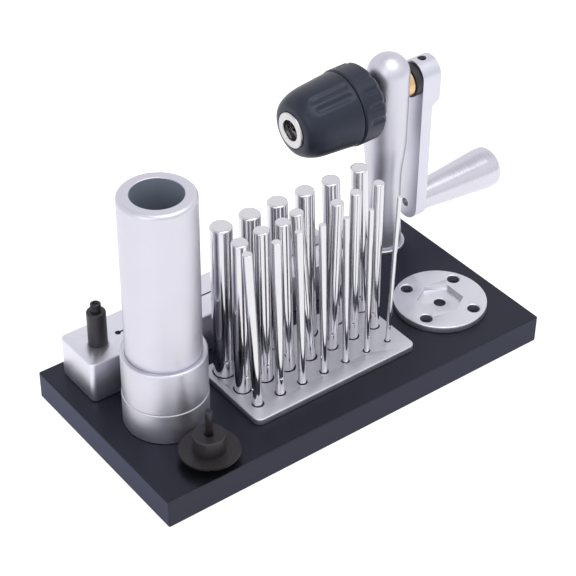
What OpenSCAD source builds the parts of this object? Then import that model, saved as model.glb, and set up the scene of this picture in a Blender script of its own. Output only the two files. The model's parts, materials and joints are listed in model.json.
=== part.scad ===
// Hand-cranked jump ring maker: winding head, mandrel rack, coil holder, blade guard and saw arbor
// on one base plate. Millimetres. The origin is the middle of the base's underside, X runs along
// the base from the guard to the crank, Y from the front edge to the back, Z is up.

/* [Base plate] */
// length of the base along X
base_l = 250; // [200:1:320]
// depth of the base along Y
base_w = 125; // [105:1:160]
// thickness of the base
base_t = 16.5; // [10:0.5:25]
// radius of the base's upright corners
base_r = 1; // [0.8:0.1:8]
// chamfer round the base's top and bottom edges
base_ch = 0.6; // [0.2:0.1:0.8]

/* [Mandrel rack] */
// length of the rack plate along X
rack_l = 107; // [100:1:130]
// depth of the rack plate along Y
rack_w = 53; // [50:0.5:70]
// thickness of the rack plate
rack_t = 4; // [3:0.5:8]
// middle of the rack plate along X
rack_x = -2.75; // [-20:0.25:20]
// middle of the rack plate along Y
rack_y = -17.15; // [-30:0.05:0]
// depth of the recess under each rack hole, cut in the base
recess_d = 2; // [1:0.5:4]
// gap all round a mandrel in its rack hole, which lets it lean
rack_gap = 0.6; // [0.5:0.05:1]

/* [Mandrels] */
// largest mandrel diameter
mandrel_max = 12; // [8:0.5:14]
// step from one mandrel diameter to the next
mandrel_step = 0.5; // [0.25:0.25:0.5]
// length of every mandrel
mandrel_l = 102.5; // [60:0.5:150]
// chamfer at a mandrel's ends, as a share of its diameter
mandrel_ch = 0.09; // [0.02:0.01:0.15]
// height of the wire hole above a mandrel's lower end
wire_hole_h = 16.5; // [8:0.5:30]

/* [Post and spindle] */
// post axis along X
post_x = 100; // [80:1:110]
// spindle axis along Y
post_y = 46.8; // [30:0.1:50]
// height of the spindle axis above the bench, at the post
spindle_z = 120.9; // [100:0.1:150]
// dip of the spindle towards the chuck's nose, degrees
tilt = 1.6; // [0:0.1:3]
// radius of the post's head
post_r = 12.3; // [11:0.1:16]
// radius of the post's waist
waist_r = 10.4; // [8:0.1:12]
// radius of the post's foot where it meets the flange
foot_r = 12.4; // [10:0.1:16]
// how far the flange under the post stands out past its foot, all round
flange_w = 2; // [0.5:0.1:6]
// radius of the spindle
spindle_r = 4.95; // [4:0.05:6]

/* [Chuck] */
// largest radius of the chuck's sleeve
chuck_r = 21.7; // [18:0.1:26]
// how far the chuck's rear ring stands out past the sleeve, all round
ring_w = 0.7; // [0:0.1:2]
// radius of the black neck behind the rear ring
collet_r = 14; // [12:0.1:16]
// length of the chuck from its rear edge to its nose
chuck_l = 51.4; // [44:0.1:60]
// outer radius of the steel nose ring
nose_r = 10.4; // [9:0.1:12]
// radius of the nose ring's hole
nose_bore_r = 5.86; // [5:0.02:7]
// radius of each jaw
jaw_r = 1.9; // [1.6:0.1:2.2]
// slope of the jaws towards the axis, degrees
jaw_slope = 15; // [12:1:18]

/* [Crank] */
// distance from the spindle axis to the handle axis
throw = 84; // [60:0.1:90]
// lean of the arm off the vertical, towards the crank side at its foot, degrees
arm_lean = 0.2; // [0:0.1:3]
// half the width of the arm, also the radius of its two ends
arm_r = 9.8; // [8:0.1:12]
// thickness of the arm
arm_t = 7.7; // [5:0.1:10]
// thickness of the arm's upper end, which holds the spindle
hub_t = 13; // [9:0.1:16]
// how far the round upper end's centre sits above the spindle axis
hub_rise = 2; // [0:0.1:4]
// distance from the spindle axis down to where the thick end stops
hub_drop = 12.5; // [12:0.1:20]
// handle length
handle_l = 59; // [40:1:80]
// handle radius next to the arm
handle_r1 = 8.2; // [7:0.1:10]
// handle radius at its far end
handle_r2 = 12.7; // [9:0.1:15]

/* [Handpiece tube and blade guard] */
// tube axis along X
tube_x = -88.9; // [-100:0.1:-80]
// tube axis along Y
tube_y = -7.3; // [-15:0.1:0]
// height of the tube's top above the bench
tube_top = 156.5; // [120:0.5:180]
// outer radius of the tube
tube_r = 19.9; // [17:0.1:22]
// radius of the tube's bore, for a one inch handpiece
tube_bore_r = 13.45; // [12.75:0.05:15]
// wall of the collar round the tube's foot
collar_w = 2.6; // [1.5:0.1:4]
// height of the collar's top above the bench
collar_top = 61.5; // [50:0.5:80]
// how far the guard cap stands out past the collar, all round
cap_w = 0.3; // [0:0.1:1]
// height of the guard cap
cap_h = 19; // [15:0.5:25]
// room round the blade inside the cap
blade_room = 1.6; // [0.8:0.1:2]

/* [Coil holder] */
// length of the block along X
block_l = 170; // [120:1:180]
// depth of the block along Y
block_w = 32; // [26:0.5:34]
// height of the block
block_h = 25; // [22:0.5:30]
// left end of the block along X
block_x0 = -114.5; // [-118:0.5:-100]
// front face of the block along Y
block_y0 = 22.9; // [20:0.1:30]
// radius of the bore the coil goes in
coil_bore_r = 9; // [6:0.1:10]
// width of the saw slit over the bore
slit_w = 1.1; // [0.6:0.1:2]
// distance from the block's left end to the slit's start hole
slit_start = 26.5; // [20:0.5:40]
// radius of the slit's start hole
slit_hole_r = 1.65; // [1:0.05:3]

/* [Stop post on the block] */
// distance from the block's left end to the stop post
stop_x = 14.1; // [10:0.1:18]
// radius of the stop post's body
stop_r = 5.25; // [4:0.05:7]
// height of the stop post's body
stop_h = 20.6; // [12:0.1:30]
// radius of the threaded neck
neck_r = 2.9; // [2:0.1:3.5]
// height of the threaded neck
neck_h = 5.2; // [3:0.1:8]

/* [Saw blade on its arbor] */
// arbor axis along X
saw_x = -89.3; // [-100:0.1:-80]
// gap between the blade's teeth and the guard cap
saw_gap = 0.5; // [0.3:0.1:5]
// outer radius of the blade
blade_r = 16.4; // [12:0.1:17]
// thickness of the blade
blade_t = 0.9; // [0.3:0.1:1.5]
// number of teeth
teeth = 104; // [48:4:160]
// depth of a tooth
tooth_d = 0.8; // [0.4:0.1:1.5]
// radius of the arbor's hub
arbor_r = 8.5; // [6:0.1:10]
// height of the arbor's hub
arbor_h = 9.8; // [6:0.1:12]
// radius of the arbor's shank
shank_r = 1.98; // [1.15:0.01:2.3]
// length of the shank above the hub
shank_l = 15; // [10:0.5:25]

/* [Bench flange] */
// flange axis along X
disc_x = 88.1; // [70:0.1:95]
// flange axis along Y
disc_y = -20.7; // [-30:0.1:-10]
// flange radius
disc_r = 26.6; // [22:0.1:30]
// flange thickness
disc_t = 4.2; // [3:0.1:8]
// radius of the circle through the four screw holes
disc_pcr = 20.3; // [17:0.1:22]
// radius of the four screw holes
disc_hole_r = 3.5; // [2.5:0.1:4]
// turn of the hole circle, degrees
disc_turn = 27; // [0:1:90]
// corner radius of the six-sided recess
recess_r = 13.4; // [10:0.1:15]
// depth of the six-sided recess
hex_d = 3; // [1:0.1:3.5]
// radius of the flange's centre hole
disc_centre_r = 3.4; // [2.5:0.1:4]

/* [Hidden] */
$fa = 4;
$fs = 0.4;
e = 0.01;
run = 0.05;               // radial clearance of a running fit
gap = 0.3;                // clearance between parts that only pass each other
rack_top = base_t + rack_t;
block_top = base_t + block_h;
block_yc = block_y0 + block_w / 2;
block_x1 = block_x0 + block_l;
coil_z = base_t + block_h / 2 + 0.5;

// mandrels: three rows, largest at the back left
row_count = [6, 7, 7];
row_y = [0, -17.3, -31.9];
row_x0 = [-46.6, -47.2, -47.8];
row_pitch = [18.7, 14.9, 14.65];
// lean of each mandrel towards +X and +Y, and turn of its wire hole, degrees
lean = [[-1.2, -1.1, 248], [-1.6, -0.9, 232], [-2.1, -0.6, 300], [-2.9, -0.9, 200], [-3.9, -1.0, 270],
        [-3.5, -0.8, 226],
        [-1.2, -0.9, 270], [-1.2, 0.3, 255], [-2.3, 0, 212], [-4.6, 1.7, 330], [-0.6, -1.6, 234],
        [-1.4, -0.7, 238], [-1.4, -0.8, 222],
        [-2.4, 1.7, 180], [-0.7, 1.5, 256], [-0.9, 1.7, 310], [-1.8, 0.4, 196], [-2.4, -0.9, 350],
        [-2.4, -1.9, 290], [0, -1.8, 236]];
pivot_z = rack_top - (rack_t + recess_d) / 2;
mandrel_z0 = base_t - recess_d + 0.7;
flange_r = foot_r + flange_w;
ring_r = chuck_r + ring_w;
collar_r = tube_r + collar_w;
cap_r = collar_r + cap_w;
blade_space_r = blade_r + blade_room;
saw_y = tube_y - cap_r - blade_r - saw_gap;
function row_of(i) = i < row_count[0] ? 0 : i < row_count[0] + row_count[1] ? 1 : 2;
function col_of(i) = i - (row_of(i) > 0 ? row_count[0] : 0) - (row_of(i) > 1 ? row_count[1] : 0);
function man_x(i) = row_x0[row_of(i)] + col_of(i) * row_pitch[row_of(i)];
function man_y(i) = row_y[row_of(i)];
function man_d(i) = mandrel_max - i * mandrel_step;
rack_hole_n = row_count[0] + row_count[1] + row_count[2];
rack_screw_x = [-39.8, 34.7];
rack_screw_y = [-24.6, -8.6];
rack_screw_r = 2;

// the winding head, as distances from the post's axis towards the chuck (-X) or the crank (+X)
bush_r = 7;
bush_flange_r = 8.8;
bush_flange_t = 1.7;
spot_x = post_r - 0.8;
neck_x0 = spot_x + bush_flange_t + gap;
ring_x0 = post_r + gap + collet_r * sin(tilt);   // the sloping ring still clears the post
chuck_x0 = 17.2;
nose_x = chuck_x0 + chuck_l;
ring_x1 = 33;
seam = 0.4;
core_r = 14.5;
nose_t = 5.5;
core_x1 = nose_x - nose_t;
jaw_l = 18;
jaw_tip_r = 5 + jaw_r;                                            // open: jaws clear a 10 mm rod
jaw_nose_r = nose_bore_r - gap - jaw_r / cos(jaw_slope);          // jaw axis at the nose face
jaw_tip_x = nose_x - (jaw_tip_r - jaw_nose_r) / tan(jaw_slope);
arm_x0 = 18;
arm_x1 = arm_x0 + arm_t;
handle_x0 = arm_x1 + gap;
axle_r = 4;
axle_thread_r = 2.6;
handle_round = 4;

// foot screws of the post and the dowels of the block
bolt_r = 4;
bolt_head_r = 6.5;
bolt_head_h = 8;
dowel_r = 2.5;
dowel_h = 6;
dowel_x = [block_x0 + 40, block_x1 - 25];

// the saw arbor, from the bench up
foot_h = 4.3;
washer_h = 1.2;
blade_z = base_t + foot_h + washer_h;
arbor_z = blade_z + blade_t;

aluminium = [0.80, 0.80, 0.83];
graphite = [0.22, 0.22, 0.26];
steel = [0.72, 0.72, 0.74];
blackened = [0.16, 0.16, 0.17];
black_plastic = [0.18, 0.18, 0.21];
bronze = [0.78, 0.60, 0.38];

// ---- shared shapes ----

// cylinder with a chamfer at each end
module chamfered(r, h, c0, c1) {
  rotate_extrude()
    polygon([[0, 0], [r - c0, 0], [r, c0], [r, h - c1], [r - c1, h], [0, h]]);
}

// flat slab with round upright corners and chamfered top and bottom edges, from z = 0 up
module slab(l, w, t, r, c) {
  module side(n) {
    polygon([[c - n / 2, 0], [n / 2 - c, 0], [n / 2, c], [n / 2, t - c], [n / 2 - c, t],
             [c - n / 2, t], [-n / 2, t - c], [-n / 2, c]]);
  }
  translate([-(l / 2 - r), 0, 0])
    rotate([90, 0, 90])
      linear_extrude(l - 2 * r)
        side(w);
  translate([0, w / 2 - r, 0])
    rotate([90, 0, 0])
      linear_extrude(w - 2 * r)
        side(l);
  for (sx = [-1, 1])
    for (sy = [-1, 1])
      translate([sx * (l / 2 - r), sy * (w / 2 - r), 0])
        chamfered(r, t, c, c);
}

// the spindle's own frame: its origin is where the spindle crosses the post's axis, X runs along the
// spindle towards the crank
module on_spindle() {
  translate([post_x, post_y, spindle_z])
    rotate([0, -tilt, 0])
      children();
}

// the arm's frame, which hangs almost upright from the same point
module on_arm() {
  translate([post_x, post_y, spindle_z])
    rotate([0, -arm_lean, 0])
      children();
}

// puts a shape that is drawn along +Z onto the spindle line, pointing to the crank
module to_crank(x = 0) {
  on_spindle()
    translate([x, 0, 0])
      rotate([0, 90, 0])
        children();
}

// the same onto the handle's line, a throw below the spindle
module to_handle(x = 0) {
  on_arm()
    translate([x, 0, -throw])
      rotate([0, 90, 0])
        children();
}

// the same on the spindle line, pointing towards the chuck's nose
module to_nose(x = 0) {
  on_spindle()
    translate([-x, 0, 0])
      rotate([0, -90, 0])
        children();
}

// ---- base and rack ----

module base_plate() {
  color(graphite)
    difference() {
      slab(base_l, base_w, base_t, base_r, base_ch);
      for (i = [0:rack_hole_n - 1])
        translate([man_x(i), man_y(i), base_t - recess_d])
          cylinder(h = recess_d + 1, r = man_d(i) / 2 + rack_gap);
      for (x = rack_screw_x)
        for (y = rack_screw_y)
          translate([x, y, -1]) {
            cylinder(h = base_t + 2, r = rack_screw_r + 0.2);
            cylinder(h = 5.5, r = 4);
          }
      translate([post_x, post_y, -1]) {
        cylinder(h = base_t + 2, r = bolt_r + 0.25);
        cylinder(h = 1 + bolt_head_h + 1, r = bolt_head_r + 0.5);
      }
      for (x = dowel_x)
        translate([x, block_yc, base_t - dowel_h - 0.5])
          cylinder(h = dowel_h + 1, r = dowel_r + run);
    }
}

module rack_plate() {
  color(aluminium)
    difference() {
      translate([rack_x, rack_y, base_t])
        slab(rack_l, rack_w, rack_t, 4, 0.4);
      for (i = [0:rack_hole_n - 1])
        translate([man_x(i), man_y(i), base_t - 1])
          cylinder(h = rack_t + 2, r = man_d(i) / 2 + rack_gap);
      for (x = rack_screw_x)
        for (y = rack_screw_y)
          translate([x, y, base_t - 1])
            cylinder(h = rack_t, r = rack_screw_r);
    }
}

// socket screws that hold the rack down, let into the base's underside
module rack_screws() {
  color(steel)
    for (x = rack_screw_x)
      for (y = rack_screw_y)
        translate([x, y, 0.6])
          difference() {
            union() {
              cylinder(h = base_t - 0.6 + rack_t - 1.2, r = rack_screw_r);
              chamfered(3.5, 3.9, 0.3, 0.01);
            }
            translate([0, 0, -1])
              cylinder(h = 3.2, r = 1.75, $fn = 6);
          }
}

// one winding mandrel: ground steel rod with a cross hole for the wire's end
module mandrel(i) {
  d = man_d(i);
  color(steel)
    translate([man_x(i), man_y(i), pivot_z])
      rotate([-lean[i][1], lean[i][0], 0])
        translate([0, 0, mandrel_z0 - pivot_z])
          difference() {
            chamfered(d / 2, mandrel_l, d * mandrel_ch, d * mandrel_ch);
            translate([0, 0, wire_hole_h])
              rotate([0, 90, lean[i][2]])
                cylinder(h = 2 * d, r = 0.35 + d * 0.06, center = true);
          }
}

// ---- post and spindle ----

// turned column: flared foot, slim waist, straight head and domed top
module post() {
  z0 = base_t + 2;
  z_waist = base_t + 46;
  z_head = base_t + 73;
  z_dome = spindle_z + 10.1;
  flare = [for (t = [0:0.1:1]) [foot_r + (waist_r - foot_r) * sin(90 * t), z0 + (z_waist - z0) * t]];
  swell = [for (t = [0.1:0.1:1]) [waist_r + (post_r - waist_r) * (1 - cos(180 * t)) / 2,
                                  z_waist + (z_head - z_waist) * t]];
  dome = [for (a = [0:7.5:82.5]) [post_r * cos(a), z_dome + post_r * sin(a)]];
  color(aluminium)
    difference() {
      translate([post_x, post_y, 0])
        rotate_extrude()
          polygon(concat([[0, z0]], flare, swell, dome, [[0, z_dome + post_r]]));
      to_crank(-post_r - 1)
        cylinder(h = 2 * post_r + 2, r = bush_r);
      for (s = [-1, 1])
        to_crank(s * (spot_x + 5))
          cylinder(h = 10, r = bush_flange_r + 0.4, center = true);
      translate([post_x, post_y, z0 - 1])
        cylinder(h = 24, r = bolt_r);
    }
}

// thin turned flange between the post's foot and the base
module post_flange() {
  color(aluminium)
    translate([post_x, post_y, base_t])
      difference() {
        chamfered(flange_r, 2, 0.01, 0.5);
        translate([0, 0, -1])
          cylinder(h = 4, r = bolt_r + 0.25);
      }
}

module post_bolt() {
  color(steel)
    translate([post_x, post_y, 0.8])
      difference() {
        union() {
          cylinder(h = base_t + 20, r = bolt_r);
          chamfered(bolt_head_r, bolt_head_h, 0.5, 0.01);
        }
        translate([0, 0, -1])
          cylinder(h = 5, r = 3.4, $fn = 6);
      }
}

// flanged plain bearing, flange outwards
module bush() {
  difference() {
    union() {
      translate([0, 0, spot_x])
        chamfered(bush_flange_r, bush_flange_t, 0.01, 0.25);
      translate([0, 0, 1.5])
        cylinder(h = spot_x - 1, r = bush_r);
    }
    cylinder(h = 30, r = spindle_r + run);
  }
}

module bush_front() {
  color(bronze)
    to_nose()
      bush();
}

module bush_rear() {
  color(bronze)
    to_crank()
      bush();
}

module spindle() {
  color(steel)
    to_nose(-(arm_x0 + hub_t) + 0.6)
      chamfered(spindle_r, arm_x0 + hub_t - 0.6 + 38, 0.5, 0.5);
}

// black spacer between the rear bush and the arm
module thrust_collar() {
  color(blackened)
    to_crank(neck_x0)
      difference() {
        chamfered(9.8, arm_x0 - neck_x0 - gap, 0.4, 0.01);
        translate([0, 0, -1])
          cylinder(h = 20, r = spindle_r);
      }
}

// ---- chuck ----

// steel heart of the chuck: neck, core and the three sloping jaw bores
module chuck_core() {
  color(steel)
    difference() {
      to_nose()
        difference() {
          union() {
            translate([0, 0, neck_x0])
              cylinder(h = chuck_x0 - neck_x0 + 2, r = 9.2);
            translate([0, 0, chuck_x0 + 0.5])
              cylinder(h = core_x1 - chuck_x0 - 0.5, r = core_r);
          }
          cylinder(h = 38.01, r = spindle_r);
          translate([0, 0, 40])
            cylinder(h = 40, r = 5);
        }
      for (k = [0:2])
        jaw_place(k)
          translate([0, 0, -jaw_l - 0.5])
            cylinder(h = 60, r = jaw_r + 0.08);
    }
}

// frame of jaw k at its tip, with Z running along the jaw towards the nose
module jaw_place(k) {
  to_nose(jaw_tip_x)
    rotate([0, 0, 120 * k])
      translate([jaw_tip_r, 0, 0])
        rotate([0, -jaw_slope, 0])
          children();
}

// one jaw: a round bar with its gripping flat cut parallel to the chuck's axis
module jaw(k) {
  color(steel)
    jaw_place(k)
      translate([0, 0, -jaw_l])
        chamfered(jaw_r, jaw_l - 0.5, 0.3, 0.6);
}

module jaw_1() {
  jaw(0);
}

module jaw_2() {
  jaw(1);
}

module jaw_3() {
  jaw(2);
}

// polished ring round the chuck's mouth, its bore opening inwards to let the jaws slope
module chuck_nose_ring() {
  color(steel)
    to_nose(core_x1)
      rotate_extrude()
        polygon([[nose_bore_r + nose_t * tan(jaw_slope), 0], [nose_r, 0], [nose_r, nose_t - 0.7],
                 [nose_r - 0.7, nose_t], [nose_bore_r + 0.5, nose_t], [nose_bore_r, nose_t - 0.5]]);
}

// one finger groove along the chuck, with round ends
module groove(x0, x1, r, turn) {
  rotate([turn, 0, 0])
    translate([0, r, 0]) {
      translate([-x1, 0, 0])
        rotate([0, 90, 0])
          cylinder(h = x1 - x0, r = 2.1);
      for (x = [x0, x1])
        translate([-x, 0, 0])
          sphere(r = 2.1);
    }
}

// turning sleeve that opens and closes the jaws
module chuck_sleeve() {
  x0 = ring_x1 + seam;
  color(black_plastic)
    difference() {
      to_nose()
        rotate_extrude()
          polygon([[core_r + run, x0], [chuck_r - 0.5, x0], [chuck_r, x0 + 0.5],
                   [chuck_r - 0.7, nose_x - 24.7], [chuck_r - 1.5, nose_x - 15.7],
                   [chuck_r - 2, nose_x - 11.7], [chuck_r - 2.7, nose_x - 8.2],
                   [chuck_r - 3.5, nose_x - 6.2], [chuck_r - 4.7, nose_x - 4.2],
                   [chuck_r - 6.6, nose_x - 2.3], [chuck_r - 8.9, nose_x - 1.3],
                   [chuck_r - 10.2, nose_x - 1], [nose_r + 0.6, nose_x - 1], [nose_r + run, nose_x - 1.4],
                   [nose_r + run, core_x1 + gap], [core_r + run, core_x1 + gap]]);
      on_spindle()
        for (g = [0:2])
          for (a = [111, 130])
            groove(x0 + 4.5, x0 + 23, chuck_r + 0.15, a + 120 * g);
    }
}

// fixed rear ring of the chuck with its neck
module chuck_rear_ring() {
  color(black_plastic)
    difference() {
      to_nose()
        rotate_extrude()
          polygon([[9.3, ring_x0], [collet_r - 0.5, ring_x0], [collet_r, ring_x0 + 0.5],
                   [collet_r, chuck_x0], [ring_r - 3, chuck_x0], [ring_r - 1.2, chuck_x0 + 0.7],
                   [ring_r - 0.2, chuck_x0 + 2], [ring_r, chuck_x0 + 4], [ring_r, ring_x1 - 0.9],
                   [ring_r - 0.9, ring_x1], [core_r, ring_x1], [core_r, chuck_x0 + 0.5],
                   [9.3, chuck_x0 + 0.5]]);
      on_spindle()
        for (g = [0:2])
          for (a = [111, 134, 157, 180])
            groove(chuck_x0 - 3, ring_x1 - 5.5, ring_r + 0.9, a + 120 * g);
    }
}

// ---- crank ----

// flat arm with round ends, its upper end thicker to hold the spindle; screw holes at both ends
module crank_arm() {
  slope = 0.6 * (hub_t - arm_t);
  color(aluminium)
    difference() {
      union() {
        on_arm()
          translate([arm_x0, 0, hub_rise])
            rotate([0, 90, 0])
              cylinder(h = hub_t, r = arm_r);
        to_handle(arm_x0)
          cylinder(h = arm_t, r = arm_r);
        on_arm()
          rotate([90, 0, 0])
            linear_extrude(2 * arm_r, center = true)
              polygon([[arm_x0, hub_rise], [arm_x0, -throw], [arm_x1, -throw],
                       [arm_x1, -hub_drop - slope], [arm_x0 + hub_t, -hub_drop],
                       [arm_x0 + hub_t, hub_rise]]);
      }
      to_crank(arm_x0 - 1)
        cylinder(h = hub_t + 2, r = spindle_r);
      to_handle(arm_x0 - 1)
        cylinder(h = arm_t + 2, r = axle_thread_r);
      on_spindle()
        translate([arm_x0 + hub_t / 2, 0, 0])
          cylinder(h = arm_r + hub_rise + 2, r = 2.6);
    }
}

// grub screw that locks the arm to the spindle
module crank_set_screw() {
  color(blackened)
    on_spindle()
      translate([arm_x0 + hub_t / 2, 0, spindle_r])
        difference() {
          chamfered(2.6, 4.4, 0.3, 0.3);
          translate([0, 0, 2])
            cylinder(h = 4, r = 1.45, $fn = 6);
        }
}

// shoulder screw the handle turns on, screwed into the arm from outside
module handle_axle() {
  color(steel)
    to_handle(arm_x1)
      difference() {
        union() {
          translate([0, 0, -arm_t + 2.6])
            cylinder(h = arm_t, r = axle_thread_r);
          cylinder(h = handle_l - 5, r = axle_r);
          translate([0, 0, handle_l - 5.4])
            chamfered(5.6, 4, 0.01, 0.4);
        }
        translate([0, 0, handle_l - 4])
          cylinder(h = 4, r = 2.3, $fn = 6);
      }
}

// tapered turned handle with a rounded far end
module handle() {
  rise = handle_r2 - handle_r1;
  nose = [for (a = [0:15:90]) [handle_r2 - handle_round * (1 - cos(a)),
                               handle_l - handle_round * (1 - sin(a))]];
  color(aluminium)
    to_handle(handle_x0)
      difference() {
        rotate_extrude()
          polygon(concat([[axle_r + run, 0], [handle_r1 - 0.5, 0], [handle_r1, 0.5],
                          [handle_r1 + rise * 0.5, handle_l * 0.45], [handle_r2, handle_l * 0.86]],
                         nose, [[axle_r + run, handle_l]]));
        translate([0, 0, handle_l - 6])
          cylinder(h = 10, r = 6);
      }
}

// ---- handpiece tube and blade guard ----

module handpiece_tube() {
  z0 = base_t + cap_h;
  rim = 2.2;
  edge = [for (a = [0:15:90]) [tube_r - rim * (1 - cos(a)), tube_top - rim * (1 - sin(a))]];
  color(aluminium)
    translate([tube_x, tube_y, 0])
      rotate_extrude()
        polygon(concat([[8, z0], [tube_r, z0]], edge,
                       [[tube_bore_r + 0.4, tube_top], [tube_bore_r, tube_top - 0.4],
                        [tube_bore_r, z0 + 8], [8, z0 + 8]]));
}

module guard_collar() {
  z0 = base_t + cap_h;
  h = collar_top - z0;
  color(aluminium)
    translate([tube_x, tube_y, z0])
      rotate_extrude()
        polygon([[tube_r, 0], [collar_r - 0.3, 0], [collar_r, 0.3], [collar_r, h - 0.8],
                 [collar_r - 0.8, h], [tube_r + 0.3, h], [tube_r, h - 0.3]]);
}

// cap that keeps fingers off the blade, with a window at the back for the work
module guard_cap() {
  color(aluminium)
    translate([tube_x, tube_y, base_t])
      difference() {
        rotate_extrude()
          polygon([[blade_space_r, 0], [cap_r - 0.5, 0], [cap_r, 0.5], [cap_r, cap_h - 0.3],
                   [cap_r - 0.3, cap_h], [5, cap_h], [5, cap_h - 4.5], [blade_space_r, cap_h - 4.5]]);
        translate([-6, 0, -1])
          cube([12, 40, 8]);
      }
}

// ---- coil holder ----

// block with a long bore for the coil, a saw slit over it and a start hole for the blade
module coil_block() {
  xs = block_x0 + slit_start;
  color(aluminium)
    difference() {
      translate([block_x0 + block_l / 2, block_yc, base_t])
        slab(block_l, block_w, block_h, 3, 0.6);
      translate([xs - 4, block_yc, coil_z])
        rotate([0, 90, 0])
          cylinder(h = block_l, r = coil_bore_r);
      translate([xs, block_yc - slit_w / 2, coil_z])
        cube([block_l, slit_w, block_h]);
      translate([xs, block_yc, coil_z])
        cylinder(h = block_h, r = slit_hole_r);
      translate([block_x0 + stop_x, block_yc, block_top - 8])
        cylinder(h = 10, r = 3 + run);
      for (x = dowel_x)
        translate([x, block_yc, base_t - 1])
          cylinder(h = 3, r = dowel_r);
    }
}

// pins that set the block's place on the base
module block_dowels() {
  color(steel)
    for (x = dowel_x)
      translate([x, block_yc, base_t - dowel_h])
        chamfered(dowel_r, dowel_h + 2, 0.5, 0.2);
}

// blackened steel post that plugs into the block's left end
module stop_post() {
  color(blackened)
    translate([block_x0 + stop_x, block_yc, block_top])
      difference() {
        union() {
          translate([0, 0, -7])
            chamfered(3, 8, 0.4, 0.01);
          chamfered(stop_r, stop_h, 0.3, 0.9);
        }
        translate([0, 0, stop_h - 8])
          cylinder(h = 10, r = neck_r - 0.4);
      }
}

// threaded plug with a socket, standing out of the post's top
module stop_screw() {
  pitch = 1;
  color(blackened)
    translate([block_x0 + stop_x, block_yc, block_top + stop_h])
      difference() {
        union() {
          translate([0, 0, -6])
            cylinder(h = 6.5, r = neck_r - 0.4);
          for (k = [0:floor(neck_h / pitch) - 1])
            translate([0, 0, k * pitch])
              rotate_extrude()
                polygon([[0, 0], [neck_r - 0.4, 0], [neck_r, pitch * 0.5], [neck_r - 0.4, pitch],
                         [0, pitch]]);
        }
        translate([0, 0, neck_h - 2.7])
          cylinder(h = 4, r = 1.6, $fn = 6);
      }
}

// ---- saw blade on its arbor ----

module arbor_foot() {
  color(blackened)
    translate([saw_x, saw_y, base_t])
      union() {
        chamfered(5, foot_h + 0.1, 0.5, 0.01);
        translate([0, 0, foot_h])
          cylinder(h = washer_h, r = 7.5);
      }
}

// slitting blade with fine teeth
module saw_blade() {
  step = 360 / teeth;
  root = blade_r - tooth_d;
  ring = [for (k = [0:teeth - 1]) for (p = [[0, root], [0.35, blade_r]])
            [p[1] * cos((k + p[0]) * step), p[1] * sin((k + p[0]) * step)]];
  color(blackened)
    translate([saw_x, saw_y, blade_z])
      difference() {
        linear_extrude(blade_t)
          polygon(ring);
        translate([0, 0, -1])
          cylinder(h = 3, r = 3);
      }
}

module arbor_hub() {
  color(blackened)
    translate([saw_x, saw_y, arbor_z])
      union() {
        chamfered(arbor_r, arbor_h, 0.3, 0.6);
        translate([0, 0, -blade_t])
          cylinder(h = blade_t + 0.1, r = 3);
      }
}

module arbor_shank() {
  color(blackened)
    translate([saw_x, saw_y, arbor_z + arbor_h])
      chamfered(shank_r, shank_l, 0.01, 0.3);
}

// ---- loose bench flange ----

// round plate with four screw holes, a six-sided recess and a centre hole
module bench_flange() {
  color(aluminium)
    translate([disc_x, disc_y, base_t])
      difference() {
        chamfered(disc_r, disc_t, 0.4, 0.4);
        for (k = [0:3])
          rotate([0, 0, disc_turn + 90 * k])
            translate([disc_pcr, 0, 0]) {
              translate([0, 0, -1])
                cylinder(h = disc_t + 2, r = disc_hole_r);
              translate([0, 0, disc_t - 0.4])
                cylinder(h = 0.8, r1 = disc_hole_r, r2 = disc_hole_r + 0.8);
            }
        translate([0, 0, disc_t - hex_d])
          rotate([0, 0, 30])
            cylinder(h = hex_d + 1, r = recess_r, $fn = 6);
        translate([0, 0, -1])
          cylinder(h = disc_t, r = disc_centre_r);
      }
}

base_plate();
rack_plate();
rack_screws();
post();
post_flange();
post_bolt();
bush_front();
bush_rear();
spindle();
chuck_core();
chuck_rear_ring();
chuck_sleeve();
chuck_nose_ring();
jaw_1();
jaw_2();
jaw_3();
thrust_collar();
crank_arm();
crank_set_screw();
handle_axle();
handle();
handpiece_tube();
guard_collar();
guard_cap();
coil_block();
block_dowels();
stop_post();
stop_screw();
arbor_foot();
saw_blade();
arbor_hub();
arbor_shank();
bench_flange();
mandrel(0);  // mandrel_120
mandrel(1);  // mandrel_115
mandrel(2);  // mandrel_110
mandrel(3);  // mandrel_105
mandrel(4);  // mandrel_100
mandrel(5);  // mandrel_095
mandrel(6);  // mandrel_090
mandrel(7);  // mandrel_085
mandrel(8);  // mandrel_080
mandrel(9);  // mandrel_075
mandrel(10);  // mandrel_070
mandrel(11);  // mandrel_065
mandrel(12);  // mandrel_060
mandrel(13);  // mandrel_055
mandrel(14);  // mandrel_050
mandrel(15);  // mandrel_045
mandrel(16);  // mandrel_040
mandrel(17);  // mandrel_035
mandrel(18);  // mandrel_030
mandrel(19);  // mandrel_025
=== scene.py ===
"""Looks of a hand-cranked jump ring maker: winding head, mandrel rack, coil holder, guard, saw and flange."""
import json
import math

import bpy
import numpy as np
from mathutils import Matrix, Vector


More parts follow.
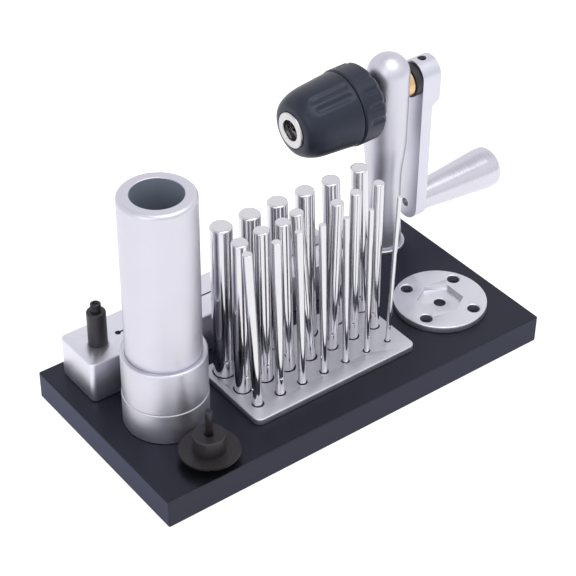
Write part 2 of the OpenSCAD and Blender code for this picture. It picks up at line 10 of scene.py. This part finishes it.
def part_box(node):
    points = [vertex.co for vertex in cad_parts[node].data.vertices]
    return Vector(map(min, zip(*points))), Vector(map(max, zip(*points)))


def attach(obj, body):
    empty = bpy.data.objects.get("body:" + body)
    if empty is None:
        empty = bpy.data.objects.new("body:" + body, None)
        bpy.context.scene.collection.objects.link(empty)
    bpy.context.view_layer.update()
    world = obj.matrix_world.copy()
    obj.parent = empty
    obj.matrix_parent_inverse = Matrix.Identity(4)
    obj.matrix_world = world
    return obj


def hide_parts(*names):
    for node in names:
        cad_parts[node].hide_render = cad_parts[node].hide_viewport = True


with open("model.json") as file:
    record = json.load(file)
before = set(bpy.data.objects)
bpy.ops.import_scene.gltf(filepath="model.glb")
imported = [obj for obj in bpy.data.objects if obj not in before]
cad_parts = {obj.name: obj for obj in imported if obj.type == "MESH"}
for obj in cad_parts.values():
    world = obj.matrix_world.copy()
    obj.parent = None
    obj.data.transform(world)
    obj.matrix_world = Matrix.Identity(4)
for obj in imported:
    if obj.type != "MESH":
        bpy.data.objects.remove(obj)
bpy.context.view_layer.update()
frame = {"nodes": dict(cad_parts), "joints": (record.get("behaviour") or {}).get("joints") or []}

mm = 0.001


# ---- Camera ----
# Long lens, looking down over the left front corner of the base.

look_yaw, look_pitch, look_roll = math.radians(37.45), math.radians(37.41), math.radians(0.63)
ahead = Vector((math.sin(look_yaw) * math.cos(look_pitch), math.cos(look_yaw) * math.cos(look_pitch),
                -math.sin(look_pitch)))
level = Vector((math.cos(look_yaw), -math.sin(look_yaw), 0))
above = level.cross(ahead)
right = level * math.cos(look_roll) + above * math.sin(look_roll)
upward = above * math.cos(look_roll) - level * math.sin(look_roll)
camera = bpy.data.objects.new("camera", bpy.data.cameras.new("camera"))
bpy.context.scene.collection.objects.link(camera)
camera.data.sensor_width = 36
camera.data.lens = 107.9
camera.matrix_world = Matrix((
    (right.x, upward.x, -ahead.x, -0.45015),
    (right.y, upward.y, -ahead.y, -0.58196),
    (right.z, upward.z, -ahead.z, 0.61791),
    (0, 0, 0, 1)))
bpy.context.scene.camera = camera
bpy.context.scene.view_settings.view_transform = "Standard"


# ---- Base plate ----
# A thick slab of aluminium with broken edges, bead-blasted and anodised graphite grey. It lies flat
# on the bench and everything else stands on it or is screwed to it from below.

def linear(hex_colour):
    """sRGB hex value to linear RGBA."""
    s = np.array([int(hex_colour[i:i + 2], 16) for i in (0, 2, 4)]) / 255
    return (*np.where(s <= 0.04045, s / 12.92, ((s + 0.055) / 1.055) ** 2.4), 1.0)


def put(tree, kind, inputs=None, **settings):
    """Adds a node: settings are its properties, inputs are values or the sockets that feed it."""
    node = tree.nodes.new("ShaderNode" + kind)
    for key, value in settings.items():
        setattr(node, key, value)
    for key, value in (inputs or {}).items():
        if isinstance(value, bpy.types.NodeSocket):
            tree.links.new(value, node.inputs[key])
        else:
            node.inputs[key].default_value = value
    return node


def finish_of(name, light, dark, metallic, rough, lay, relief, patch=12.0, patch_rough=0.03):
    """Worked surface: noise stretched to the tool marks' lay (spacing in mm along X, Y, Z) drives colour
    between dark and light, roughness between its two values, and relief (bump height in mm). A second,
    broad noise of the given patch size in mm varies the roughness as handling and anodising do."""
    material = bpy.data.materials.new(name)
    material.use_nodes = True
    tree = material.node_tree
    shader = tree.nodes["Principled BSDF"]
    shader.inputs["Metallic"].default_value = metallic
    place = put(tree, "TexCoord").outputs["Object"]
    marks = put(tree, "Mapping", {"Vector": place, "Scale": [1000 / d for d in lay]})
    lines = put(tree, "TexNoise", {"Vector": marks.outputs[0], "Scale": 1.0, "Detail": 3.0, "Roughness": 0.6})
    broad = put(tree, "TexNoise", {"Vector": place, "Scale": 1000 / patch, "Detail": 2.0})
    tone = put(tree, "Mix", {0: lines.outputs[0], 6: linear(dark), 7: linear(light)}, data_type="RGBA")
    tree.links.new(tone.outputs[2], shader.inputs["Base Color"])
    fine = put(tree, "MapRange", {0: lines.outputs[0], 1: 0.3, 2: 0.7, 3: rough[0], 4: rough[1]})
    shift = put(tree, "MapRange", {0: broad.outputs[0], 1: 0.3, 2: 0.7, 3: -patch_rough, 4: patch_rough})
    total = put(tree, "Math", {0: fine.outputs[0], 1: shift.outputs[0]}, operation="ADD", use_clamp=True)
    tree.links.new(total.outputs[0], shader.inputs["Roughness"])
    bump = put(tree, "Bump", {"Strength": 1.0, "Distance": relief * mm, "Height": lines.outputs[0]})
    tree.links.new(bump.outputs[0], shader.inputs["Normal"])
    return material


def skin(name, grid, loop=False):
    """Closed mesh over a grid of points: the first index runs round and wraps. The second wraps too if
    loop is set, or else each end ring is closed by one flat face, or by a fan where it is a point."""
    n, m = grid.shape[:2]
    index = np.arange(n * m).reshape(n, m)
    for end in () if loop else (0, m - 1):
        if np.ptp(grid[:, end], axis=0).max() < 1e-9:
            index[:, end] = index[0, end]
    here = index if loop else index[:, :-1]
    there = np.roll(index, -1, 1) if loop else index[:, 1:]
    quads = np.stack([here, np.roll(here, -1, 0), np.roll(there, -1, 0), there], -1).reshape(-1, 4)
    points = grid.reshape(-1, 3)
    a, b, c, d = (points[quads[:, k]] for k in range(4))
    volume = (np.cross(a, b) * c).sum() + (np.cross(a, c) * d).sum()
    rings = [] if loop else [index[::-1, 0], index[:, -1]]
    rings = [ring for ring in rings if ring[0] != ring[1]]
    for ring in rings:
        p = points[ring]
        volume += (np.cross(p[:1], p[1:-1]) * p[2:]).sum()
    faces = [list(dict.fromkeys(q)) for q in quads.tolist()] + [ring.tolist() for ring in rings]
    if volume < 0:
        faces = [face[::-1] for face in faces]
    used = np.unique(np.concatenate([np.array(f) for f in faces]))
    renumber = np.zeros(n * m, int)
    renumber[used] = np.arange(len(used))
    mesh = bpy.data.meshes.new(name)
    mesh.from_pydata(points[used].tolist(), [], [renumber[f].tolist() for f in faces])
    mesh.polygons.foreach_set("use_smooth", np.ones(len(faces), bool))
    obj = bpy.data.objects.new(name, mesh)
    bpy.context.scene.collection.objects.link(obj)
    return obj


def eased(*corners, closed=False, steps=5):
    """Profile through corners (reach, rise, radius) in mm. A corner with a radius becomes an arc tangent
    to both its sides, with one more point just beyond each end so that the flats shade flat."""
    spot = np.array([c[:2] for c in corners], float)
    out = []
    for i, (x, y, radius) in enumerate(corners):
        if not radius or (not closed and i in (0, len(corners) - 1)):
            out.append(spot[i][None])
            continue
        back, on = spot[i - 1] - spot[i], spot[(i + 1) % len(spot)] - spot[i]
        back, on = back / np.hypot(*back), on / np.hypot(*on)
        half = math.acos(np.clip(back @ on, -1, 1)) / 2
        middle = spot[i] + (back + on) / np.hypot(*(back + on)) * radius / math.sin(half)
        ends = [spot[i] + side * radius / math.tan(half) for side in (back, on)]
        start, stop = (math.atan2(*(e - middle)[::-1]) for e in ends)
        stop = start + (stop - start + math.pi) % (2 * math.pi) - math.pi
        turn = np.linspace(start, stop, steps)
        arc = middle + radius * np.stack([np.cos(turn), np.sin(turn)], 1)
        beyond = min(0.4 * radius, 0.3)
        out += [(ends[0] + back * beyond)[None], arc, (ends[1] + on * beyond)[None]]
    return np.concatenate(out).T


def carried(name, profile, origin=(0, 0, 0), along=(0, 0, 1), angles=96, centres=None, loop=False):
    """Profile (reach, rise) in mm carried round an axis: point = origin + centre(angle) + reach times the
    outward direction at that angle + rise along the axis. reach may vary with the angle too."""
    reach, rise = profile
    if np.isscalar(angles):
        angles = np.arange(angles) * 2 * math.pi / angles
    up = np.array(along, float) / np.linalg.norm(along)
    side = np.array((0, 1, 0) if abs(up[0]) > 0.9 else (1, 0, 0), float)
    side -= up * (side @ up)
    side /= np.linalg.norm(side)
    other = np.cross(up, side)
    out = np.cos(angles)[:, None] * side + np.sin(angles)[:, None] * other
    grid = out[:, None] * np.broadcast_to(reach, (len(angles), len(np.atleast_2d(rise)[0])))[..., None]
    grid = grid + up * np.asarray(rise)[..., None]
    if centres is not None:
        grid = grid + (centres[:, :1] * side + centres[:, 1:] * other)[:, None]
    return skin(name, np.array(origin) + grid * mm, loop)


def slab_round(length, width, radius, steps=8):
    """Angles and corner centres that carry a profile round a rectangle with round corners, in mm."""
    quarter = np.linspace(0, math.pi / 2, steps)
    angles = np.concatenate([quarter + k * math.pi / 2 for k in range(4)])
    x, y = length / 2 - radius, width / 2 - radius
    return angles, np.repeat([(x, y), (-x, y), (-x, -y), (x, -y)], steps, 0).astype(float)


def fit(piece, material, body, slot, *nodes):
    """Gives a finished piece its material and its body, and hides the nodes it stands for. The slot is not used."""
    piece.data.materials.clear()
    piece.data.materials.append(material)
    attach(piece, body)
    if nodes:
        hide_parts(*nodes)
    return piece


def refined(name, node, edge):
    """Copy of a node's own shape with merged corners, smooth rounds and edges broken by edge, in mm."""
    mesh = frame["nodes"][node].data.copy()
    piece = bpy.data.objects.new(name, mesh)
    bpy.context.scene.collection.objects.link(piece)
    weld = piece.modifiers.new("weld", "WELD")
    weld.merge_threshold = 0.002 * mm
    bpy.context.view_layer.update()
    solid = bpy.data.meshes.new_from_object(piece.evaluated_get(bpy.context.evaluated_depsgraph_get()))
    piece.modifiers.clear()
    piece.data = solid
    if edge:
        bevel = piece.modifiers.new("broken edge", "BEVEL")
        bevel.width = edge * mm
        bevel.segments = 2
        bevel.limit_method = "ANGLE"
        bevel.angle_limit = math.radians(40)
        bevel.harden_normals = True
    solid.polygons.foreach_set("use_smooth", np.ones(len(solid.polygons), bool))
    solid.set_sharp_from_angle(angle=math.radians(32))
    return piece


def middle(node):
    """Centre of a node's box, in metres."""
    low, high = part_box(node)
    return np.array((low + high) / 2)


# Bead-blasted, then anodised: the blast leaves a fine even tooth about 0.15 mm across, drawn at 0.5 mm.
graphite = finish_of("graphite_anodised_aluminium", "37383f", "2e2f37", 0.85, (0.3, 0.4), (0.5, 0.5, 0.5), 0.008,
                     patch=40)
graphite.node_tree.nodes["Principled BSDF"].inputs["Specular Tint"].default_value = (0.66, 0.68, 0.86, 1)
low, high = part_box("base_plate")
base_l, base_w, base_t = (np.array(high - low) / mm)
around, corners = slab_round(base_l, base_w, 1.0)
base = carried("base", eased((0.1, 0, 0), (1, 0, 0.5), (1, base_t, 0.5), (0.1, base_t, 0)),
               angles=around, centres=corners)
fit(base, graphite, "stand", "graphite_anodised", "base_plate")


# ---- Mandrel rack ----
# A flat aluminium plate with rounded corners, drilled with twenty holes and screwed down from below.
# It is blasted and clear anodised: pale, even and slightly rough.

plate_metal = finish_of("blasted_aluminium", "dcdce0", "c6c6cc", 1.0, (0.36, 0.5), (0.35, 0.35, 0.35), 0.02)
fit(refined("rack", "rack_plate", 0.25), plate_metal, "stand", "satin_aluminium", "rack_plate")


# ---- Mandrels ----
# Twenty ground and polished steel rods in half millimetre steps. Each stands loose in its hole, so each
# leans its own way, and each has a small cross hole near the foot for the end of the wire.

steel_polished = finish_of("polished_tool_steel", "dcdbdf", "c9c8cd", 1.0, (0.07, 0.13), (0.25, 0.25, 60), 0.0015)
rod_l = 102.5
hole_h = 16.5
rod_sides, hole_rows = 104, 17
axes = {j["child"]: np.array(j["axis"]) for j in frame["joints"]}
places = {j["child"]: np.array(j["pos_m"]) for j in frame["joints"] if "pos_m" in j}
hole_turn = (248, 232, 300, 200, 270, 226, 270, 255, 212, 330, 234, 238, 222, 180, 256, 310, 196, 350, 290, 236)
for i, turn in enumerate(hole_turn):
    size = f"{120 - 5 * i:03d}"
    d = int(size) / 10
    bore = 0.35 + 0.06 * d
    # angles crowd towards the two mouths of the cross hole
    even = np.arange(rod_sides) * 2 * math.pi / rod_sides
    angles = even - 0.36 * np.sin(2 * even)
    plain = eased((0, -rod_l / 2, 0), (d / 2, -rod_l / 2, 0.09 * d), (d / 2, rod_l / 2, 0.09 * d), (0, rod_l / 2, 0))
    near = hole_h - rod_l / 2 + bore * np.linspace(-1.5, 1.5, hole_rows)
    half = len(plain[0]) // 2
    rise = np.concatenate([plain[1][:half], near, plain[1][half:]])
    reach = np.concatenate([plain[0][:half], np.full(hole_rows, d / 2), plain[0][half:]])
    across = np.abs(np.sin(angles))[:, None] * d / 2
    away = np.hypot(across, rise[None] - (hole_h - rod_l / 2)) / bore
    depth = np.clip((1.12 - away) / 0.22, 0, 1) ** 0.5 * 0.8
    depth[:, (rise < near[0] - 1e-6) | (rise > near[-1] + 1e-6)] = 0
    rod = carried("rod_" + size, (reach * (1 - depth), rise), middle("mandrel_" + size), axes["rod_" + size],
                  angles=angles + math.radians(turn))
    fit(rod, steel_polished, "rod_" + size, "polished_steel", "mandrel_" + size)


# ---- Post ----
# A solid turned aluminium column with a flared foot, a slim waist and a domed head, bolted from below
# through a thin turned flange. Two flanged bushes carry the spindle; the front one is drawn in black steel, painted
# shade for the dark under the chuck.

turned_z = finish_of("satin_turned_aluminium", "cfced7", "c9c8d2", 1.0, (0.37, 0.45), (60, 60, 0.5), 0.0012)
low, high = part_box("post")
post_at = np.array(((low.x + high.x) / 2, (low.y + high.y) / 2, 0))
foot_z, dome_z = low.z / mm, 131.0
waist_z, head_z = foot_z + 44, foot_z + 71
head_r, waist_r, foot_r = 12.3, 10.4, 12.4
t = np.linspace(0, 1, 30)
flare = (foot_r + (waist_r - foot_r) * np.sin(t * math.pi / 2), foot_z + (waist_z - foot_z) * t)
swell = (waist_r + (head_r - waist_r) * (1 - np.cos(math.pi * t)) / 2, waist_z + (head_z - waist_z) * t)
dome = (head_r * np.cos(t * math.pi / 2), dome_z + head_r * np.sin(t * math.pi / 2))
outline = np.concatenate([[[0], [foot_z]], flare, np.array(swell)[:, 1:], dome], 1)
outline[0, -1] = 0
post = carried("post_column", outline, post_at)
fit(post, turned_z, "stand", "satin_aluminium", "post")

flange_r, base_top = 14.4, float(base_t)
ring = carried("post_foot_ring", eased((0, base_top, 0), (flange_r, base_top, 0.15), (flange_r, base_top + 2, 0.7),
                                       (0, base_top + 2, 0)), post_at)
fit(ring, turned_z, "stand", "satin_aluminium", "post_flange")

bronze = finish_of("turned_bronze", "e6c9a0", "cfae80", 1.0, (0.25, 0.34), (0.3, 40, 40), 0.004)
hub_at, spin = places["crank"], axes["crank"]
black_steel = finish_of("black_oxide_steel", "3d3b3e", "2e2c2f", 0.6, (0.34, 0.46), (1.2, 1.2, 0.3), 0.004)
# The front bush gets black steel instead of bronze: painted shade for the shadow under the chuck, not its metal.
for side, end, metal in (("front", -1, black_steel), ("rear", 1, bronze)):
    bush = eased((5, 6, 0), (8.8, 6, 0.2), (8.8, 13.2, 0.35), (5, 13.2, 0.2), closed=True) * np.array([[1], [end]])
    fit(carried("bearing_" + side, bush, hub_at, spin, loop=True), metal, "stand", "bronze", "bush_" + side)


# ---- Chuck ----
# A keyless drill chuck on the spindle's front end: two moulded black shells with finger grooves round a
# steel heart, and a bright turned steel ring at the mouth.

black_shell = finish_of("moulded_black_nylon", "1c1f29", "171a23", 0.0, (0.35, 0.44), (0.45, 0.45, 0.45), 0.005,
                        patch=9)
black_shell.node_tree.nodes["Principled BSDF"].inputs["Specular Tint"].default_value = (0.7, 0.78, 1, 1)
steel_turned = finish_of("turned_steel", "dad8d8", "b4b2b4", 1.0, (0.16, 0.28), (0.3, 25, 25), 0.003)
towards_nose = np.array([[1], [-1]])
inner_wall_r = 15  # a shell's points within this reach are its inner wall, which the finger grooves leave alone


def grooved(profile, angles, first, last, places, width, deep):
    """Reach lowered along finger grooves: a rounded valley of the given width and depth in mm at each
    angle in places, running from first to last along the axis and fading out at its round ends."""
    reach, rise = profile
    lowered = np.zeros((len(angles), len(rise)))
    for spot in places:
        off = np.abs((angles - math.radians(spot) + math.pi) % (2 * math.pi) - math.pi)[:, None] * reach[None]
        beyond = np.clip(np.maximum(first - rise, rise - last), 0, None)[None]
        valley = np.clip(1 - np.hypot(off, beyond) / (width / 2), 0, 1)
        lowered = np.maximum(lowered, (reach > inner_wall_r) * deep * np.sin(valley * math.pi / 2) ** 1.5)
    return reach[None] - lowered, rise


def dense(profile, step):
    """Profile with points added so that none of its sides is longer than step, in mm."""
    pieces = []
    for a, b in zip(profile.T[:-1], profile.T[1:]):
        pieces.append(a + (b - a) * np.arange(0, 1, 1 / max(1, math.ceil(np.hypot(*(b - a)) / step)))[:, None])
    return np.concatenate(pieces + [profile.T[-1:]]).T


around = np.arange(360) * math.pi / 180
nose, seam, ring_end = 68.6, 33.4, 33.0
chuck_r, ring_r = 21.7, 22.4
# the sleeve's crown as (reach, height over the seam), drawn 33.9 mm high and stretched to the sleeve's own
crown_stretch = 35.2 / 33.9
crown = np.array([(21.65, 1.5), (21.0, 9.2), (20.2, 18.2), (19.9, 20.6), (19.4, 23.4), (18.8, 25.6), (17.9, 27.9),
                  (16.8, 29.9), (15.6, 31.3), (14.2, 32.2), (12.8, 32.65), (11.5, 32.85)])
shell = np.concatenate([eased((14.6, seam, 0), (chuck_r, seam, 0.5), (21.68, seam + 1, 0)).T,
                        crown * (1, crown_stretch) + (0, seam), [[10.46, nose - 1.2], [10.46, nose - 5.2],
                                                                [14.55, nose - 5.2]]]).T
shell = dense(shell, 1.2) * towards_nose
valleys = [a + 120 * g for g in range(3) for a in (111, 130)]
sleeve = carried("chuck_grip", grooved(shell, around, -seam - 24, -seam - 4.5, valleys, 5.8, 0.9), hub_at, spin,
                 angles=around, loop=True)
fit(sleeve, black_shell, "sleeve", "black_plastic", "chuck_sleeve")

shell = eased((9.4, 13, 0), (14, 13, 0.5), (14, 17.2, 0.4), (ring_r - 2.4, 17.2, 1.0), (ring_r, 19.8, 2.0),
              (ring_r, ring_end - 0.9, 0.4), (ring_r - 0.9, ring_end, 0.3), (14.6, ring_end, 0),
              (14.6, 17.7, 0), (9.4, 17.7, 0))
shell = dense(shell, 0.8) * towards_nose
valleys = [a + 120 * g for g in range(3) for a in (111, 134, 157, 180)]
rear = carried("chuck_ring", grooved(shell, around, -ring_end + 5.5, -14.2, valleys, 4.6, 0.9), hub_at, spin,
               angles=around)
fit(rear, black_shell, "crank", "black_plastic", "chuck_rear_ring")

mouth = eased((7.33, nose - 5.5, 0), (10.4, nose - 5.5, 0.2), (10.4, nose, 0.8), (5.86, nose, 0.6), closed=True)
fit(carried("chuck_mouth_ring", mouth * towards_nose, hub_at, spin, loop=True), steel_turned, "crank", "plain_steel",
    "chuck_nose_ring")
for node in ("chuck_core", "spindle", "jaw_1", "jaw_2", "jaw_3", "handle_axle", "rack_screws", "post_bolt",
             "block_dowels"):
    frame["nodes"][node].material_slots[0].material = steel_turned


# ---- Crank ----
# A milled flat aluminium arm with a boss clamped on the spindle by a grub screw, a black steel collar
# between it and the post, and a tapered turned handle free to spin on a shoulder screw.

arm_metal = finish_of("satin_milled_aluminium", "d2d1db", "cccbd6", 1.0, (0.34, 0.42), (0.5, 0.5, 20), 0.0015)
turned_x = finish_of("satin_turned_aluminium_crosswise", "cfced7", "c9c8d1", 1.0, (0.24, 0.3), (0.5, 60, 60), 0.0003)


def prism(name, outline, first, last, across, up, along, origin):
    """Solid whose outline (two rows, in mm) lies along across and up, carried straight from first to last."""
    flat = outline[0][:, None] * across + outline[1][:, None] * up
    return skin(name, origin + (flat[:, None] + np.array([first, last])[:, None] * along) * mm)


arm_in, arm_out, arm_low, hub_out, throw, arm_r, rise = 18.0, 25.7, -15.7, 31.0, 84.0, 9.8, 2.0
y_way = np.array((0.0, 1.0, 0.0))
level = axes["handle"]
up_arm = np.cross(level, y_way)
side_view = eased((arm_in, -throw - 12, 0), (arm_in, 14, 0), (hub_out, 14, 0), (hub_out, -12.5, 3.0),
                  (arm_out, arm_low, 1.5), (arm_out, -throw - 12, 0), closed=True, steps=7)
turn = np.linspace(0, math.pi, 49)
end_view = np.array([np.concatenate([np.cos(turn), -np.cos(turn)]) * arm_r,
                     np.concatenate([np.sin(turn) * arm_r + rise, -np.sin(turn) * arm_r - throw])])
arm = prism("arm", side_view, -12, 12, level, up_arm, y_way, hub_at)
ring = np.arange(48) * math.pi / 24
circle = np.array([np.cos(ring), np.sin(ring)])
tools = [("INTERSECT", prism("ends", end_view, 0, 40, y_way, up_arm, level, hub_at)),
         ("DIFFERENCE", prism("bore", circle * 4.95, 0, 40, y_way, np.cross(spin, y_way), spin, hub_at)),
         ("DIFFERENCE", prism("thread", circle * 2.6 - [[0], [throw]], 0, 40, y_way, up_arm, level, hub_at)),
         ("DIFFERENCE", prism("grub", circle * 2.6 + [[24.5], [0]], 0, 30, spin, y_way, np.cross(spin, y_way),
                              hub_at))]
for operation, tool in tools:
    change = arm.modifiers.new(tool.name, "BOOLEAN")
    change.operation, change.object = operation, tool
bpy.context.view_layer.update()
shaped = bpy.data.meshes.new_from_object(arm.evaluated_get(bpy.context.evaluated_depsgraph_get()))
arm.modifiers.clear()
arm.data = shaped
for operation, tool in tools:
    bpy.data.objects.remove(tool)
edges = arm.modifiers.new("broken edge", "BEVEL")
edges.width, edges.segments, edges.limit_method = 0.45 * mm, 3, "ANGLE"
edges.angle_limit, edges.harden_normals = math.radians(50), True
shaped.polygons.foreach_set("use_smooth", np.ones(len(shaped.polygons), bool))
shaped.set_sharp_from_angle(angle=math.radians(32))
fit(arm, arm_metal, "crank", "satin_aluminium", "crank_arm")
frame["nodes"]["crank_set_screw"].material_slots[0].material = black_steel

collar = eased((5, 13.5, 0), (9.8, 13.5, 0.5), (9.8, 17.7, 0.15), (5, 17.7, 0))
fit(carried("spacer", collar, hub_at, spin), black_steel, "crank", "blackened_steel", "thrust_collar")

first = arm_out + 0.3
handle_l = 59
last = first + handle_l
grip = eased((4.05, first, 0), (8.2, first, 0.5), (10.45, first + 26.5, 60), (12.7, first + 50.7, 30),
             (12.7, last, 4.0), (6, last, 0.3), (6, last - 6, 0.2), (4.05, last - 6, 0), closed=True, steps=9)
grip = carried("grip", grip, places["handle"], level, loop=True, angles=128)
fit(grip, turned_x, "handle", "satin_aluminium", "handle")


# ---- Handpiece tube and guard ----
# Three turned aluminium pieces on one axis: a thick walled tube for the handpiece, a collar round its
# foot and the cap that covers the blade, with a hairline seam where collar and cap meet.

tube_at = middle("handpiece_tube") * (1, 1, 0)
tube_r, bore_r, saw_way_r, tube_top = 19.9, 13.45, 8, 156.5
tube = eased((saw_way_r, 35.5, 0), (tube_r, 35.5, 0.2), (tube_r, tube_top, 2.4), (bore_r, tube_top, 0.5),
             (bore_r, 43.5, 0.3), (saw_way_r, 43.5, 0.2), closed=True, steps=8)
tube = carried("tube", tube, tube_at, loop=True, angles=128)
fit(tube, turned_z, "guard", "satin_aluminium", "handpiece_tube")
# The bore's inner wall below the top gets a darker grey material: painted shade for the inside of the tube.
bore_painted_shade = finish_of("shaded_bore", "8e98a6", "7c8694", 0.3, (0.4, 0.5), (40, 40, 0.4), 0.002)
tube.data.materials.append(bore_painted_shade)
for polygon in tube.data.polygons:
    spot = np.array(polygon.center) / mm
    if math.hypot(spot[0] - tube_at[0] / mm, spot[1] - tube_at[1] / mm) < bore_r + 0.15 and spot[2] < tube_top - 0.9:
        polygon.material_index = 1
collar = eased((19.92, 35.55, 0), (22.5, 35.55, 0.35), (22.5, 61.5, 0.9), (19.92, 61.5, 0.3), closed=True)
collar = carried("tube_collar", collar, tube_at, loop=True, angles=128)
fit(collar, turned_z, "guard", "satin_aluminium", "guard_collar")
frame["nodes"]["guard_cap"].material_slots[0].material = turned_z


# ---- Coil holder ----
# A milled aluminium block with a long bore for the coil, a saw slit over it and a start hole. A black
# post with a threaded socket plug stands on its left end.

block_metal = finish_of("satin_milled_block", "dcdbe4", "d3d2dd", 1.0, (0.34, 0.42), (14, 0.45, 0.45), 0.003)
fit(refined("holder", "coil_block", 0.15), block_metal, "block", "satin_aluminium", "coil_block")

low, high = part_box("stop_post")
stop_at = np.array(((low.x + high.x) / 2, (low.y + high.y) / 2, 0))
shoulder = high.z / mm
stop = eased((0, low.z / mm, 0), (3, low.z / mm, 0.4), (3, 41.5, 0), (5.25, 41.5, 0.3), (5.25, shoulder, 1.1),
             (2.5, shoulder, 0))
fit(carried("stop", stop, stop_at), black_steel, "stop", "blackened_steel", "stop_post")
pitch, plug_top = 0.7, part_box("stop_screw")[1].z / mm
turns = np.arange(int((plug_top - shoulder) / pitch))
thread = np.stack([np.tile([2.45, 2.9], len(turns)),
                   shoulder + (np.repeat(turns, 2) + np.tile([0, 0.5], len(turns))) * pitch])
socket = np.array([[2.5, 2.2, 1.75, 1.6, 1.6, 0], [plug_top - 0.25, plug_top, plug_top, plug_top - 0.15,
                                                    plug_top - 2.5, plug_top - 2.8]])
plug = np.concatenate([[[0, 2.45], [shoulder - 3, shoulder - 3]], thread, socket], 1)
fit(carried("stop_plug", plug, stop_at, angles=48), black_steel, "stop", "blackened_steel", "stop_screw")


# ---- Saw on its arbor ----
# A fine toothed slitting blade clamped between a turned black hub and a screw head below, with a thin
# shank standing up for the handpiece.

saw_at = middle("saw_blade") * (1, 1, 0)
low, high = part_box("saw_blade")
teeth, tooth_d, blade_r = 104, 0.8, 16.4
around = np.arange(teeth * 6) * 2 * math.pi / (teeth * 6)
cut = (np.arange(teeth * 6) % 6) / 6
tooth = np.where(cut < 0.5, cut / 0.5, 1 - (cut - 0.5) / 0.5)[:, None]
under, over = low.z / mm, high.z / mm
reach = np.array([0, 9, blade_r - 2, blade_r - 0.9, blade_r, blade_r, blade_r - 0.9, blade_r - 2, 9, 0.0])
rise = np.array([under] * 5 + [over] * 5)
share = np.array([0, 0, 0, 0, 1, 1, 0, 0, 0, 0.0])
blade = carried("blade", (reach[None] - share * tooth_d * (1 - tooth), rise), saw_at, angles=around)
fit(blade, black_steel, "saw", "blackened_steel", "saw_blade")
for polygon in blade.data.polygons:
    polygon.use_smooth = False
hub_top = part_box("arbor_hub")[1].z / mm
hub = eased((0, over - 0.1, 0), (8.5, over - 0.1, 0.2), (8.5, hub_top, 0.7), (2.9, hub_top, 0.2),
            (1.9, hub_top - 0.5, 0), (0, hub_top - 0.5, 0))
fit(carried("hub", hub, saw_at), black_steel, "saw", "blackened_steel", "arbor_hub")
low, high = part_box("arbor_shank")
shank = eased((0, low.z / mm - 0.5, 0), (1.98, low.z / mm - 0.5, 0.0), (1.98, high.z / mm, 0.3), (0, high.z / mm, 0))
fit(carried("shank", shank, saw_at, angles=48), black_steel, "saw", "blackened_steel", "arbor_shank")
low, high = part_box("arbor_foot")
foot = eased((0, low.z / mm, 0), (5, low.z / mm, 0.5), (5, low.z / mm + 4.3, 0.0), (7.5, low.z / mm + 4.3, 0.2),
             (7.5, high.z / mm, 0.1), (0, high.z / mm, 0))
fit(carried("arbor_screw", foot, saw_at), black_steel, "saw", "blackened_steel", "arbor_foot")


# ---- Bench flange ----
# A turned aluminium disc with four screw holes, a six-sided recess that takes a nut and a centre hole.

disc_metal = finish_of("satin_faced_aluminium", "dbdbe1", "cfcfd6", 1.0, (0.34, 0.46), (0.4, 0.4, 3), 0.008)
fit(refined("flange_disc", "bench_flange", 0.2), disc_metal, "flange", "satin_aluminium", "bench_flange")


# ---- Studio ----
# A white sweep that glows a little, like a lit table under the object, in a light tent that is brightest
# round the horizon and darker overhead, with one wide soft box low on the left and a weak one above.

floor = carried("floor", np.array([[0, 1500, 1500, 0], [-0.4, -0.4, -20, -20]]), angles=64)
white = finish_of("studio_floor", "a0a0a0", "9c9c9c", 0.0, (0.6, 0.7), (5, 5, 5), 0.0)
white.node_tree.nodes["Principled BSDF"].inputs["Emission Color"].default_value = (1, 1, 1, 1)
white.node_tree.nodes["Principled BSDF"].inputs["Emission Strength"].default_value = 0.85
floor.data.materials.append(white)

world = bpy.data.worlds.new("room")
bpy.context.scene.world = world
world.use_nodes = True
tree = world.node_tree
tree.nodes.clear()
direction = put(tree, "TexCoord").outputs["Generated"]
split = put(tree, "SeparateXYZ", {0: direction})
ramp = put(tree, "ValToRGB", {0: split.outputs[2]})
stops = ramp.color_ramp.elements
stops[0].color = (1.0, 1.0, 1.03, 1)
stops[1].position, stops[1].color = 0.95, (0.75, 0.75, 0.78, 1)
between = stops.new(0.55)
between.color = (1.22, 1.22, 1.25, 1)
glow = put(tree, "Background", {"Color": ramp.outputs[0], "Strength": 0.9})
out = put(tree, "OutputWorld", {"Surface": glow.outputs[0]})


def soft_box(name, at, size, power):
    """Area light of the given size in metres, facing the middle of the object."""
    lamp = bpy.data.objects.new(name, bpy.data.lights.new(name, "AREA"))
    lamp.data.shape = "RECTANGLE"
    lamp.data.size, lamp.data.size_y = size
    lamp.data.energy = power
    lamp.location = at
    lamp.rotation_euler = (Vector((0, 0, 0.06)) - Vector(at)).to_track_quat("-Z", "Y").to_euler()
    bpy.context.scene.collection.objects.link(lamp)


soft_box("over", (0.12, -0.28, 1.1), (0.8, 0.8), 5)
soft_box("left", (-1.0, -0.4, 0.6), (0.7, 0.9), 2)
